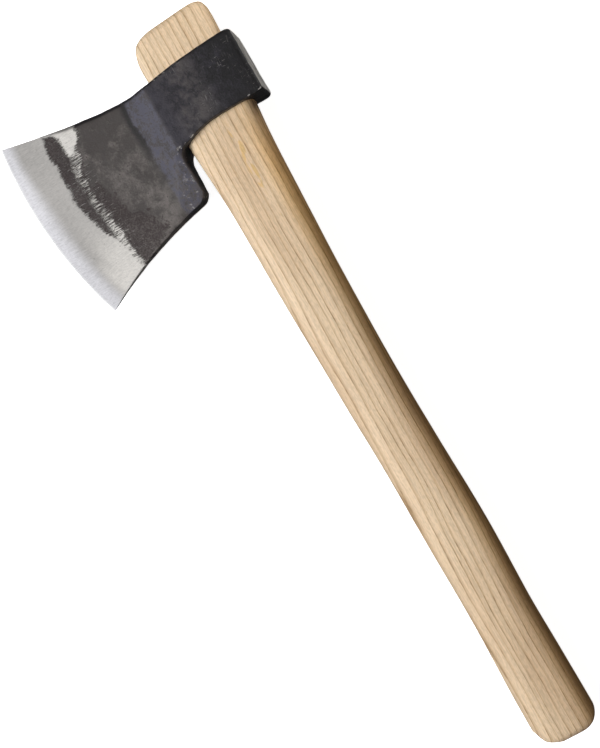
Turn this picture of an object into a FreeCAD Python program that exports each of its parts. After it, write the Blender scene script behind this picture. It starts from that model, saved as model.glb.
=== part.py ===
import FreeCAD, Part
import math
import os
import re

import Sketcher

# Hatchet with a drop-through handle, lying on its side.
# X runs from the eye down the handle to the butt, Y from the cutting edge to the poll, Z up.
# The origin is the centre of the eye on the lower cheek, so z = 0 is the plane the head rests on.

DIMENSIONS = {
    # head: thickness
    "head_thickness": 30.0,
    "wedge_half_at_bit": 2.5,
    "wedge_half_at_step": 6.8,
    "bit_half": 2.3,
    "micro_half": 0.85,
    "edge_half": 0.2,
    # head: stations across the blade, from the middle of the eye
    "wedge_start_y": -84.0,
    "step_foot_y": -38.6,
    "step_crest_y": -25.4,
    "step_root_radius": 9.0,
    "step_crest_radius": 4.0,
    # head: side outline
    "toe_x": -25.7,
    "toe_y": -101.8,
    "crown_front_x": -12.6,
    "crown_front_y": -36.0,
    "crown_back_x": -12.1,
    "crown_back_y": -17.0,
    "poll_top_x": -14.1,
    "poll_y": 27.0,
    "poll_bottom_x": 19.4,
    "rim_x": 19.0,
    "rim_y": 4.0,
    "throat_top_x": 22.3,
    "throat_top_y": -15.8,
    "throat_end_x": 29.0,
    "beard_y": -23.8,
    "beard_end_x": 45.4,
    "corner_x": 49.1,
    "corner_y": -26.2,
    "heel_x": 71.75,
    "heel_y": -92.8,
    "top_arc_radius": 394.0,
    "crown_radius": 55.0,
    "eye_arc_radius": 323.0,
    "rim_arc_radius": 45.0,
    "throat_radius": 7.6,
    "lower_arc_radius": 224.0,
    "edge_radius": 218.0,
    # head: bit ground back from the cutting edge, measured towards the eye
    "bit_depth": 20.0,
    "micro_depth": 3.2,
    # head: beard thinned towards its tip
    "beard_thin_x": 22.6,
    "beard_thin_half": 14.2,
    "beard_tip_x": 49.1,
    "beard_tip_half": 6.6,
    # head: broken edges
    "edge_break": 0.8,
    # handle: where its width and thickness are set, along X
    "top_x": -36.7,
    "shoulder_x": -26.0,
    "eye_top_x": -15.0,
    "eye_bottom_x": 34.0,
    "neck_x": 58.0,
    "upper_x": 110.0,
    "middle_x": 170.0,
    "waist_x": 205.0,
    "swell_x": 250.0,
    "low_waist_x": 295.0,
    "flare_x": 335.0,
    "butt_x": 360.3,
    # handle: width across Y
    "top_width": 42.3,
    "shoulder_width": 43.0,
    "eye_top_width": 42.5,
    "eye_bottom_width": 36.9,
    "neck_width": 34.6,
    "upper_width": 32.7,
    "middle_width": 31.1,
    "waist_width": 30.8,
    "swell_width": 31.7,
    "low_waist_width": 30.7,
    "flare_width": 32.4,
    "butt_width": 32.5,
    # handle: middle of that width, to the poll side of the eye's middle
    "top_mid": 0.45,
    "shoulder_mid": 0.47,
    "eye_top_mid": 0.34,
    "eye_bottom_mid": -0.52,
    "neck_mid": -0.62,
    "upper_mid": -1.65,
    "middle_mid": -1.85,
    "waist_mid": -1.3,
    "swell_mid": -0.9,
    "low_waist_mid": -1.45,
    "flare_mid": -1.88,
    "butt_mid": -1.9,
    # handle: thickness across Z
    "top_thick": 23.8,
    "shoulder_thick": 23.8,
    "eye_top_thick": 23.2,
    "eye_bottom_thick": 21.2,
    "neck_thick": 21.0,
    "upper_thick": 20.8,
    "middle_thick": 20.8,
    "waist_thick": 21.0,
    "swell_thick": 21.2,
    "low_waist_thick": 21.0,
    "flare_thick": 21.3,
    "butt_thick": 21.4,
    "handle_corner": 9.6,
    "top_slant": 3.2,
    "end_round": 6.0,
}

# The eye's two mouths and the handle's stations from its top end to its butt.
EYE_STATIONS = ("eye_top", "eye_bottom")
HANDLE_STATIONS = (
    "top", "shoulder", "eye_top", "eye_bottom", "neck", "upper",
    "middle", "waist", "swell", "low_waist", "flare", "butt",
)


SHEET = "Dimensions"


def make_sheet(doc):
    """Write every driving dimension into a spreadsheet, each with its alias."""
    sheet = doc.addObject("Spreadsheet::Sheet", SHEET)
    for row, (alias, size) in enumerate(DIMENSIONS.items(), start=1):
        sheet.set(f"A{row}", alias)
        sheet.set(f"B{row}", str(size))
        sheet.setAlias(f"B{row}", alias)
    doc.recompute()


def cells(text):
    """Turn words that are aliases into references to the spreadsheet."""
    return re.sub(r"[a-z_]+", lambda word: f"{SHEET}.{word[0]}" if word[0] in DIMENSIONS else word[0], text)


def bind(item, prop, text):
    """Drive a property of a document object from the spreadsheet."""
    item.setExpression(prop, cells(text))


def worth(item, text):
    """Value of an expression of aliases, as a plain number."""
    return float(item.evalExpression(cells(text)))


def origin_plane(body, role):
    """One of the body's own origin planes."""
    return next(plane for plane in body.Origin.OriginFeatures if plane.Role == role)


def new_body(doc, label):
    """Body with its own label and placement."""
    body = doc.addObject("PartDesign::Body", label)
    body.Label = label
    body.Placement = FreeCAD.Placement()
    return body


def new_sketch(body, name, role, **offset):
    """Sketch on an origin plane of its own body, moved by expressions for x, y or z."""
    sketch = body.newObject("Sketcher::SketchObject", name)
    sketch.AttachmentSupport = [(origin_plane(body, role), "")]
    sketch.MapMode = "FlatFace"
    for axis, text in offset.items():
        bind(sketch, f".AttachmentOffset.Base.{axis}", text)
    body.Document.recompute()
    return sketch


def arc_between(start, end, radius):
    """Arc from start to end, left of the chord for a positive radius and right of it for a negative one."""
    chord = end - start
    left = FreeCAD.Vector(-chord.y, chord.x, 0).normalize()
    rise = abs(radius) - math.sqrt(radius ** 2 - chord.Length ** 2 / 4)
    return Part.Arc(start, (start + end) / 2 + left * math.copysign(rise, radius), end)


def end_at(sketch, index, point):
    """Which end of a sketch edge lies at a point: 1 for its start, 2 for its end."""
    return 1 if (sketch.getPoint(index, 1) - point).Length < 1e-6 else 2


def draw_outline(sketch, corners, arcs=()):
    """Closed outline through corners given as pairs of expressions.

    arcs maps a corner's number to the side and the radius of the arc that leaves it:
    side 1 bulges left of the way round, side -1 bulges right.
    """
    arcs = dict(arcs)
    places = [FreeCAD.Vector(worth(sketch, x), worth(sketch, y), 0) for x, y in corners]
    first = sketch.GeometryCount
    for number, start in enumerate(places):
        end = places[(number + 1) % len(places)]
        if number in arcs:
            side, radius = arcs[number]
            edge = sketch.addGeometry(arc_between(start, end, side * worth(sketch, radius)))
            bent = sketch.addConstraint(Sketcher.Constraint("Radius", edge, worth(sketch, radius)))
            bind(sketch, f"Constraints[{bent}]", radius)
        else:
            sketch.addGeometry(Part.LineSegment(start, end))
    for number, (place, (x, y)) in enumerate(zip(places, corners)):
        here = first + number
        before = first + (number - 1) % len(places)
        leaving = end_at(sketch, here, place)
        arriving = end_at(sketch, before, place)
        sketch.addConstraint(Sketcher.Constraint("Coincident", before, arriving, here, leaving))
        for kind, along, text in (("DistanceX", place.x, x), ("DistanceY", place.y, y)):
            tie = sketch.addConstraint(Sketcher.Constraint(kind, -1, 1, here, leaving, along))
            bind(sketch, f"Constraints[{tie}]", text)


def draw_rounded_section(sketch, width, thick, middle, corner):
    """Rounded rectangle: width along the sketch's x, thickness along its y, given as expressions."""
    left, right = f"{middle} - {width} / 2", f"{middle} + {width} / 2"
    low, high = f"-{thick} / 2", f"{thick} / 2"
    corners = [
        (f"{left} + {corner}", low), (f"{right} - {corner}", low),
        (right, f"{low} + {corner}"), (right, f"{high} - {corner}"),
        (f"{right} - {corner}", high), (f"{left} + {corner}", high),
        (left, f"{high} - {corner}"), (left, f"{low} + {corner}"),
    ]
    draw_outline(sketch, corners, {number: (-1, corner) for number in (1, 3, 5, 7)})


def add_feature(body, kind, name, profile=None, **settings):
    """Feature of a body; settings that are text are expressions, except Type and the like."""
    feature = body.newObject(kind, name)
    if profile is not None:
        feature.Profile = profile
        profile.Visibility = False
    for prop, setting in settings.items():
        if isinstance(setting, str) and prop != "Type":
            bind(feature, prop, setting)
        else:
            setattr(feature, prop, setting)
    body.Tip = feature
    body.Document.recompute()
    return feature


def edges_where(feature, test):
    """Names of the edges whose two ends and middle all pass a test."""
    names = []
    for number, edge in enumerate(feature.Shape.Edges, start=1):
        middle = edge.valueAt((edge.FirstParameter + edge.LastParameter) / 2)
        if all(test(point) for point in [middle] + [vertex.Point for vertex in edge.Vertexes]):
            names.append(f"Edge{number}")
    return names


def removed(body, name, before):
    """Volume a cut took away; a cut that took nothing went the wrong way."""
    taken = before - body.Shape.Volume
    if taken < 1.0:
        raise RuntimeError(f"{name} removed {taken:.2f} mm3")
    return taken


def pad_side_outline(body):
    """Whole head at full thickness: blade, crown, poll, rim, throat, beard and heel."""
    sketch = new_sketch(body, "SideOutline", "XY_Plane")
    corners = [
        ("toe_x", "toe_y"), ("crown_front_x", "crown_front_y"), ("crown_back_x", "crown_back_y"),
        ("poll_top_x", "poll_y"), ("poll_bottom_x", "poll_y"), ("rim_x", "rim_y"),
        ("throat_top_x", "throat_top_y"), ("throat_end_x", "beard_y"), ("beard_end_x", "beard_y"),
        ("corner_x", "corner_y"), ("heel_x", "heel_y"),
    ]
    arcs = {
        0: (-1, "top_arc_radius"), 1: (-1, "crown_radius"), 2: (1, "eye_arc_radius"),
        5: (-1, "rim_arc_radius"), 6: (-1, "throat_radius"),
        9: (-1, "lower_arc_radius"), 10: (1, "edge_radius"),
    }
    draw_outline(sketch, corners, arcs)
    add_feature(body, "PartDesign::Pad", "FullThickness", sketch, Length="head_thickness")


def cut_cheeks(body):
    """Thin the blade to a wedge below and above, with a step up to the eye's flat cheeks."""
    before = body.Shape.Volume
    sketch = new_sketch(body, "CheekProfile", "YZ_Plane", z="poll_top_x - 40")
    centre = "head_thickness / 2"
    slope = "(wedge_half_at_step - wedge_half_at_bit) / (step_foot_y - wedge_start_y)"
    front = "toe_y - 10"
    front_half = f"(wedge_half_at_bit - (wedge_start_y - ({front})) * {slope})"
    for sign in ("+", "-"):
        outside = f"{centre} {sign} head_thickness"
        draw_outline(sketch, [
            (front, f"{centre} {sign} {front_half}"),
            ("step_foot_y", f"{centre} {sign} wedge_half_at_step"),
            ("step_crest_y", f"{centre} {sign} head_thickness / 2"),
            ("step_crest_y", outside),
            (front, outside),
        ])
    add_feature(body, "PartDesign::Pocket", "Cheeks", sketch, Reversed=True, Length="heel_x + 150")
    removed(body, "Cheeks", before)


def blend_step(body):
    """Round the foot of the step and its crest, above and below."""
    sizes = body.Document.getObject(SHEET)
    for name, line, half, radius in (
        ("StepRoot", sizes.step_foot_y, sizes.wedge_half_at_step, "step_root_radius"),
        ("StepCrest", sizes.step_crest_y, sizes.head_thickness / 2, "step_crest_radius"),
    ):
        middle = sizes.head_thickness / 2
        names = edges_where(body.Tip, lambda point: abs(point.y - line) < 0.01
                            and abs(abs(point.z - middle) - half) < 0.01)
        add_feature(body, "PartDesign::Fillet", name, Base=(body.Tip, names), Radius=radius)


def thin_beard(body):
    """Cut the beard down from the eye's thickness towards its tip, above and below."""
    before = body.Shape.Volume
    sketch = new_sketch(body, "BeardTaper", "XZ_Plane", z="-poll_y - 40")
    centre = "head_thickness / 2"
    slope = "(beard_thin_half - beard_tip_half) / (beard_tip_x - beard_thin_x)"
    start = f"(beard_thin_x - (head_thickness / 2 - beard_thin_half) / ({slope}))"
    far = "(heel_x + 10)"
    far_half = f"(beard_tip_half - ({far} - beard_tip_x) * {slope})"
    for sign in ("+", "-"):
        draw_outline(sketch, [
            (start, f"{centre} {sign} head_thickness / 2"),
            (far, f"{centre} {sign} {far_half}"),
            (far, f"{centre} {sign} head_thickness"),
            (start, f"{centre} {sign} head_thickness"),
        ])
    add_feature(body, "PartDesign::Pocket", "BeardThinning", sketch, Reversed=True,
                Length="poll_y - toe_y + 80")
    removed(body, "BeardThinning", before)


def grind_bit(body):
    """Grind both sides of the bit along the cutting edge, as rings about the edge's own centre."""
    before = body.Shape.Volume
    sizes = body.Document.getObject(SHEET)
    toe = FreeCAD.Vector(sizes.toe_x, sizes.toe_y, 0)
    heel = FreeCAD.Vector(sizes.heel_x, sizes.heel_y, 0)
    middle = arc_between(heel, toe, sizes.edge_radius)
    centre = middle.toShape().Curve.Center
    sketch = new_sketch(body, "BitProfile", "YZ_Plane")
    sketch.AttachmentOffset = FreeCAD.Placement(FreeCAD.Vector(centre.y, 0, centre.x), FreeCAD.Rotation())
    body.Document.recompute()
    axis_height = "head_thickness / 2"
    for sign in ("+", "-"):
        draw_outline(sketch, [
            ("-edge_radius - 4", f"{axis_height} {sign} edge_half / 2"),
            ("-edge_radius", f"{axis_height} {sign} edge_half"),
            ("-edge_radius + micro_depth", f"{axis_height} {sign} micro_half"),
            ("-edge_radius + bit_depth", f"{axis_height} {sign} bit_half"),
            ("-edge_radius + bit_depth", f"{axis_height} {sign} 8"),
            ("-edge_radius - 4", f"{axis_height} {sign} 8"),
        ])
    axis = (sketch, ["V_Axis"])
    add_feature(body, "PartDesign::Groove", "BitGrind", sketch, ReferenceAxis=axis, Angle=360.0)
    removed(body, "BitGrind", before)


def section_sketch(body, name, station, station_offset, height):
    """Rounded section of the handle or eye at a station, its middle at a given height."""
    sketch = new_sketch(body, name, "YZ_Plane", z=station_offset, y=height)
    draw_rounded_section(sketch, f"{station}_width", f"{station}_thick", f"{station}_mid", "handle_corner")
    return sketch


def cut_eye(body):
    """Tapered eye, wider at its upper mouth, so the handle jams in it."""
    before = body.Shape.Volume
    mouths = [
        section_sketch(body, f"Eye_{station}", station, f"{station}_x", "head_thickness / 2")
        for station in EYE_STATIONS
    ]
    add_feature(body, "PartDesign::SubtractiveLoft", "Eye", mouths[0], Sections=mouths[1:], Ruled=True)
    removed(body, "Eye", before)


def break_edges(body):
    """Small flats along the outer edges of the eye and poll."""
    sizes = body.Document.getObject(SHEET)
    top = sizes.head_thickness
    names = edges_where(body.Tip, lambda point: point.y > sizes.step_crest_y + 6 and (
        abs(point.z) < 0.01 or abs(point.z - top) < 0.01
        or (abs(point.y - sizes.poll_y) < 0.01)))
    add_feature(body, "PartDesign::Chamfer", "BrokenEdges", Base=(body.Tip, names), Size="edge_break")


def build_head(doc):
    """Forged head: one piece of steel."""
    body = new_body(doc, "axe_head")
    pad_side_outline(body)
    cut_cheeks(body)
    blend_step(body)
    thin_beard(body)
    grind_bit(body)
    cut_eye(body)
    break_edges(body)
    return body


def build_handle(doc):
    """Straight ash handle, wider above the eye than below it, with rounded ends."""
    body = new_body(doc, "handle")
    sections = [
        section_sketch(body, f"Section_{station}", station, f"{station}_x", "head_thickness / 2")
        for station in HANDLE_STATIONS
    ]
    add_feature(body, "PartDesign::AdditiveLoft", "Shaft", sections[0], Sections=sections[1:])
    slant_top(body)
    sizes = doc.getObject(SHEET)
    names = edges_where(body.Tip, lambda point: point.x < sizes.shoulder_x or point.x > sizes.butt_x - 0.01)
    add_feature(body, "PartDesign::Fillet", "RoundedEnds", Base=(body.Tip, names), Radius="end_round")
    return body


def slant_top(body):
    """Saw the top end slightly out of square, lower on the blade's side."""
    before = body.Shape.Volume
    sketch = new_sketch(body, "TopSlant", "XY_Plane", z="-head_thickness")
    draw_outline(sketch, [
        ("top_x", "top_width / 2 + 2"), ("top_x + top_slant", "-top_width / 2 - 2"),
        ("top_x - 5", "-top_width / 2 - 2"), ("top_x - 5", "top_width / 2 + 2"),
    ])
    add_feature(body, "PartDesign::Pocket", "TopEnd", sketch, Reversed=True, Length="head_thickness * 3")
    removed(body, "TopEnd", before)


def check(doc, bodies):
    """Stop on any feature in error or any shape that isn't one valid solid."""
    for item in doc.Objects:
        if "Invalid" in item.State or "Error" in item.State:
            raise RuntimeError(f"{item.Label}: {item.State}")
    for body in bodies:
        shape = body.Shape
        if shape.isNull() or not shape.isValid() or len(shape.Solids) != 1:
            raise RuntimeError(f"{body.Label} isn't one valid solid")


def main():
    doc = FreeCAD.newDocument("Hatchet")
    make_sheet(doc)
    bodies = [build_head(doc), build_handle(doc)]
    doc.recompute()
    check(doc, bodies)
    os.makedirs("parts", exist_ok=True)
    for body in bodies:
        body.Shape.exportStep(f"parts/{body.Label}.step")
        box = body.Shape.BoundBox
        print(body.Label, round(body.Shape.Volume), "mm3", box)


main()
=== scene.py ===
"""Small hatchet: a forged, bearded head jammed on a straight drop-through ash handle."""

import functools
import logging
import math
from dataclasses import dataclass, field
from enum import Enum
from typing import Callable, Sequence

import bmesh
import bpy
from mathutils import Matrix, Vector


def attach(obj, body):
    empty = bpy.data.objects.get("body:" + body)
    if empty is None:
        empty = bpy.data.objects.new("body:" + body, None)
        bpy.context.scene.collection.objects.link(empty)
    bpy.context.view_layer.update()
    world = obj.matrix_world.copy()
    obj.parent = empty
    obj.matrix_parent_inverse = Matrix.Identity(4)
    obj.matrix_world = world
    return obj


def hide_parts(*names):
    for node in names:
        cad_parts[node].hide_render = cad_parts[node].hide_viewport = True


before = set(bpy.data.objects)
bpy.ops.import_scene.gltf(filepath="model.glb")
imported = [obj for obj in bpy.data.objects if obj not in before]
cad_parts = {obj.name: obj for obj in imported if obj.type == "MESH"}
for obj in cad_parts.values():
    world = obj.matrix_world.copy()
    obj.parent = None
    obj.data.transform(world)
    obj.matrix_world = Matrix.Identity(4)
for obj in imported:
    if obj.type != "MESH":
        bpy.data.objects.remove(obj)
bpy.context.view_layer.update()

MM = 0.001
CLOSE = 0.001  # millimetres: points this near are one, on the untouched sheet
TOUCH = 0.02  # millimetres: points this near are one, on a shaped mesh
LOG = logging.getLogger("hatchet")

Colour = tuple[float, float, float]
Point = tuple[float, float]
Socket = bpy.types.NodeSocket
Value = Socket | float


class Axis(Enum):
    """The row frame's axes: along the handle, from edge to poll, and up."""

    ALONG = 0
    ACROSS = 1
    UP = 2


class Slot(Enum):
    """The record's material slots."""

    STEEL = "forged_steel"
    ASH = "ash_wood"


# --------------------------------------------------------------------------- shaping


@dataclass(frozen=True)
class Arc:
    """Round stretch of an outline between two points, in millimetres.

    bulge is +1 where the stretch bows towards the butt and -1 where it bows away from it.
    """

    start: Point
    end: Point
    radius: float
    bulge: int

    def centre(self) -> Vector:
        """Find the arc's centre.

        Returns:
            The centre.
        """
        start, end = Vector(self.start), Vector(self.end)
        chord = end - start
        across = Vector((-chord.y, chord.x)).normalized()
        if across.x * self.bulge > 0:
            across = -across
        drop = math.sqrt(self.radius**2 - chord.length_squared / 4)
        return (start + end) / 2 + across * drop

    def x_at(self, y: float) -> float:
        """Return the arc's place along the handle at a place across the head.

        Args:
            y: Place between edge and poll, in millimetres.

        Returns:
            Place along the handle, in millimetres.
        """
        centre = self.centre()
        rise = math.sqrt(max(self.radius**2 - (y - centre.y) ** 2, 0.0))
        return centre.x + self.bulge * rise


@dataclass(frozen=True)
class Outline:
    """One long side of the head, as arcs and straight stretches in order from edge to poll."""

    stretches: tuple[Arc | tuple[Point, Point], ...]

    def x_at(self, y: float) -> float:
        """Return the side's place along the handle.

        Args:
            y: Place between edge and poll, in millimetres.

        Returns:
            Place along the handle, in millimetres.
        """
        for stretch in self.stretches:
            start, end = (stretch.start, stretch.end) if isinstance(stretch, Arc) else stretch
            if y <= end[1] + 1e-6 or stretch is self.stretches[-1]:
                if isinstance(stretch, Arc):
                    return stretch.x_at(min(max(y, start[1]), end[1]))
                share = (y - start[1]) / (end[1] - start[1])
                return start[0] + (end[0] - start[0]) * share
        raise ValueError(f"no stretch reaches {y}")


def smooth_between(table: Sequence[Point], at: float) -> float:
    """Read a table with a smooth curve through its points.

    Args:
        table: Pairs of place and value, in rising order of place.
        at: Place to read.

    Returns:
        The value there, held level past either end.
    """
    if at <= table[0][0]:
        return table[0][1]
    if at >= table[-1][0]:
        return table[-1][1]
    right = next(number for number, (place, _) in enumerate(table) if place > at)
    (x0, y0), (x1, y1) = table[right - 1], table[right]

    def slope(number: int) -> float:
        """Slope through a point from its neighbours."""
        low, high = max(number - 1, 0), min(number + 1, len(table) - 1)
        return (table[high][1] - table[low][1]) / (table[high][0] - table[low][0])

    share = (at - x0) / (x1 - x0)
    span = x1 - x0
    return (
        (2 * share**3 - 3 * share**2 + 1) * y0
        + (share**3 - 2 * share**2 + share) * span * slope(right - 1)
        + (-2 * share**3 + 3 * share**2) * y1
        + (share**3 - share**2) * span * slope(right)
    )


def touches(place: Vector, column: Point) -> bool:
    """Say whether a place lies in a column that stands at a point of the XY plane."""
    return abs(place.x - column[0]) < TOUCH and abs(place.y - column[1]) < TOUCH


class Workpiece:
    """A mesh shaped in edit mode, with its selections made in code. Sizes are millimetres."""

    def __init__(
        self, name: str, columns: int, rows: int, turn: tuple[float, float, float]
    ) -> None:
        """Start from a square sheet, two millimetres wide, centred on the origin.

        Args:
            name: The object's name.
            columns: Faces along the sheet.
            rows: Faces up the sheet.
            turn: Turn of the sheet about each axis, in radians.
        """
        bpy.ops.object.select_all(action="DESELECT")
        bpy.ops.mesh.primitive_grid_add(
            x_subdivisions=columns, y_subdivisions=rows, size=2 * MM, rotation=turn
        )
        self.body = bpy.context.object
        self.body.name = self.body.data.name = name
        bpy.ops.object.transform_apply(location=False, rotation=True, scale=False)
        bpy.ops.object.mode_set(mode="EDIT")
        bpy.ops.mesh.select_mode(type="VERT")
        bpy.ops.mesh.select_all(action="SELECT")

    def pick(self, test: Callable[[Vector], bool], faces: bool = False) -> None:
        """Select the points, or the faces by their middles, that pass a test.

        Args:
            test: Says whether a place, in millimetres, is wanted.
            faces: Whether to select faces rather than points.
        """
        bpy.ops.mesh.select_mode(type="FACE" if faces else "VERT")
        bpy.ops.mesh.select_all(action="DESELECT")
        shape = bmesh.from_edit_mesh(self.body.data)
        for item in shape.faces if faces else shape.verts:
            place = item.calc_center_median() if faces else item.co
            if test(place / MM):
                item.select_set(True)
        shape.select_flush_mode()
        bmesh.update_edit_mesh(self.body.data)

    def places(self) -> list[Vector]:
        """Return the selected points' places, in millimetres."""
        shape = bmesh.from_edit_mesh(self.body.data)
        return [point.co / MM for point in shape.verts if point.select]

    def move(self, x: float = 0.0, y: float = 0.0, z: float = 0.0) -> None:
        """Move what is selected."""
        bpy.ops.transform.translate(value=(x * MM, y * MM, z * MM))

    def scale(self, about: Vector, x: float = 1.0, y: float = 1.0, z: float = 1.0) -> None:
        """Scale what is selected about a place."""
        bpy.ops.transform.resize(value=(x, y, z), center_override=tuple(about * MM))

    def extrude(self, x: float = 0.0, y: float = 0.0, z: float = 0.0) -> None:
        """Draw the selected faces out."""
        bpy.ops.mesh.extrude_region_move(
            TRANSFORM_OT_translate={"value": (x * MM, y * MM, z * MM)}
        )

    def fit(self, axis: Axis, low: float, high: float) -> None:
        """Stretch what is selected along one axis to lie between two places.

        Args:
            axis: The axis to stretch along.
            low: Where the lowest point goes.
            high: Where the highest point goes.
        """
        reach = [place[axis.value] for place in self.places()]
        old_low, old_high = min(reach), max(reach)
        stretch, shift = [1.0, 1.0, 1.0], [0.0, 0.0, 0.0]
        stretch[axis.value] = (high - low) / (old_high - old_low)
        shift[axis.value] = low - old_low
        about = Vector((0.0, 0.0, 0.0))
        about[axis.value] = old_low
        self.scale(about, *stretch)
        self.move(*shift)

    def close(self) -> bpy.types.Object:
        """Leave edit mode with every face pointing outwards.

        Returns:
            The finished object.
        """
        bpy.ops.mesh.select_mode(type="VERT")
        bpy.ops.mesh.select_all(action="SELECT")
        bpy.ops.mesh.normals_make_consistent(inside=False)
        bpy.ops.object.mode_set(mode="OBJECT")
        return self.body


def apply_modifier(body: bpy.types.Object, kind: str, **settings: object) -> None:
    """Add a modifier, set it and apply it.

    Args:
        body: The object to work on.
        kind: Blender's name for the modifier's type.
        **settings: The modifier's own settings.
    """
    bpy.ops.object.select_all(action="DESELECT")
    body.select_set(True)
    bpy.context.view_layer.objects.active = body
    modifier = body.modifiers.new(kind.title(), kind)
    for name, setting in settings.items():
        setattr(modifier, name, setting)
    bpy.ops.object.modifier_apply(modifier=modifier.name)


def subdivide(body: bpy.types.Object, levels: int) -> None:
    """Round a cage into a smooth surface."""
    apply_modifier(body, "SUBSURF", levels=levels, render_levels=levels)


def ripple(body: bpy.types.Object, size: float, height: float, group: str = "") -> None:
    """Raise and sink a surface a little, as hand work leaves it.

    Args:
        body: The object to work on.
        size: How far apart the rises are, in millimetres.
        height: Height from lowest to highest, in millimetres.
        group: Vertex group that says where it applies; all over if empty.
    """
    cloud = bpy.data.textures.new(f"{body.name}_ripple_{size:g}", "CLOUDS")
    cloud.noise_scale = size * MM
    cloud.noise_depth = 1
    settings = {"vertex_group": group} if group else {}
    apply_modifier(
        body, "DISPLACE", texture=cloud, texture_coords="LOCAL", strength=height * MM,
        mid_level=0.5, **settings,
    )


# --------------------------------------------------------------------------- finishes


@dataclass(frozen=True)
class Marks:
    """A layer of fractal marks: how many to the metre, all round or along each axis."""

    count: float | tuple[float, float, float]
    detail: float = 2.0
    rough: float = 0.5
    bend: float = 0.0


class Graph:
    """A material's node tree, with short calls for the nodes that the finishes use."""

    def __init__(self, name: str) -> None:
        """Start an empty material.

        Args:
            name: The material's name.
        """
        self.material = bpy.data.materials.new(name)
        self.material.use_nodes = True
        self.tree = self.material.node_tree
        self.tree.nodes.clear()

    def add(
        self, kind: str, inputs: dict[str | int, object] | None = None, **settings: object
    ) -> bpy.types.Node:
        """Add a node.

        Args:
            kind: The node's type, without its ShaderNode prefix.
            inputs: What goes into each socket: another node's output, or a constant.
            **settings: The node's own settings.

        Returns:
            The node.
        """
        node = self.tree.nodes.new(f"ShaderNode{kind}")
        for name, setting in settings.items():
            setattr(node, name, setting)
        for key, source in (inputs or {}).items():
            if isinstance(source, bpy.types.NodeSocket):
                self.tree.links.new(source, node.inputs[key])
            else:
                node.inputs[key].default_value = source
        return node

    def work(self, kind: str, *terms: Value, clamp: bool = False) -> Socket:
        """Do one sum on numbers."""
        return self.add("Math", dict(enumerate(terms)), operation=kind, use_clamp=clamp).outputs[0]

    def times(self, first: Value, *others: Value) -> Socket:
        """Multiply numbers, from left to right."""
        return functools.reduce(functools.partial(self.work, "MULTIPLY"), others, first)

    def plus(self, one: Value, other: Value) -> Socket:
        """Add two numbers."""
        return self.work("ADD", one, other)

    def minus(self, one: Value, other: Value) -> Socket:
        """Take one number from another."""
        return self.work("SUBTRACT", one, other)

    def scaled(self, value: Value, factor: Value, extra: Value) -> Socket:
        """Multiply a number by a factor and add something."""
        return self.work("MULTIPLY_ADD", value, factor, extra)

    def most(self, first: Value, *others: Value) -> Socket:
        """Take the greatest of some numbers."""
        return functools.reduce(functools.partial(self.work, "MAXIMUM"), others, first)

    def parts(self, place: Socket) -> tuple[Socket, Socket, Socket]:
        """Split a place or direction into its three numbers."""
        return tuple(self.add("SeparateXYZ", {0: place}).outputs)

    def grey(self, value: Value) -> Socket:
        """Turn a number into a grey, for tinting."""
        return self.add("CombineXYZ", {0: value, 1: value, 2: value}).outputs[0]

    def marks(self, place: Socket, marks: Marks) -> Socket:
        """Lay fractal marks over a piece.

        Args:
            place: The coordinates they follow.
            marks: How many there are, and how rough.

        Returns:
            A number, about 0.5 on average.
        """
        count = marks.count
        if isinstance(count, tuple):
            place = self.add("VectorMath", {0: place, 1: count}, operation="MULTIPLY").outputs[0]
            count = 1.0
        return self.add("TexNoise", {
            "Vector": place, "Scale": count, "Detail": marks.detail, "Roughness": marks.rough,
            "Distortion": marks.bend,
        }).outputs[0]

    def ease(
        self, value: Value, low: float, high: float, start: float = 0.0, end: float = 1.0
    ) -> Socket:
        """Map a number smoothly from one span to another, held at both ends.

        Args:
            value: The number.
            low: Where the rise starts.
            high: Where it ends.
            start: The result at and before its start.
            end: The result at and past its end.

        Returns:
            The result.
        """
        return self.add(
            "MapRange", {0: value, 1: low, 2: high, 3: start, 4: end},
            interpolation_type="SMOOTHSTEP",
        ).outputs[0]

    def over(
        self, length: Value, low: float, high: float, start: float = 0.0, end: float = 1.0
    ) -> Socket:
        """Map a length as ease does, its rise given in millimetres."""
        return self.ease(length, low * MM, high * MM, start, end)

    def hill(self, value: Value, rise: Point, fall: Point, unit: float = 1.0) -> Socket:
        """Rise smoothly from 0 to 1 over one span and fall back over another.

        Args:
            value: The number.
            rise: Where the rise starts and ends.
            fall: Where the fall starts and ends.
            unit: What one stands for in both spans.

        Returns:
            The height of the hill.
        """
        up = self.ease(value, rise[0] * unit, rise[1] * unit)
        return self.times(up, self.ease(value, fall[0] * unit, fall[1] * unit, 1.0, 0.0))

    def blend(
        self, share: Value, under: Socket | Colour, over: Socket | Colour, mode: str = "MIX"
    ) -> Socket:
        """Mix two colours.

        Args:
            share: How much of the upper colour shows.
            under: The lower colour.
            over: The upper colour.
            mode: How they mix.

        Returns:
            The mixed colour.
        """
        node = self.add("Mix", data_type="RGBA", blend_type=mode)
        for number, source in ((0, share), (6, under), (7, over)):
            socket = node.inputs[number]
            if isinstance(source, bpy.types.NodeSocket):
                self.tree.links.new(source, socket)
            else:
                socket.default_value = (*source, 1.0) if isinstance(source, tuple) else source
        return node.outputs[2]

    def curve(self, value: Value, points: Sequence[Point]) -> Socket:
        """Read a smooth curve.

        Args:
            value: The place to read, from 0 to 1.
            points: Places and heights on the curve, all from 0 to 1.

        Returns:
            The height there.
        """
        node = self.add("FloatCurve", {1: value})
        line = node.mapping.curves[0]
        line.points[0].location = points[0]
        line.points[1].location = points[-1]
        for point in points[1:-1]:
            line.points.new(*point)
        node.mapping.update()
        return node.outputs[0]

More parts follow.
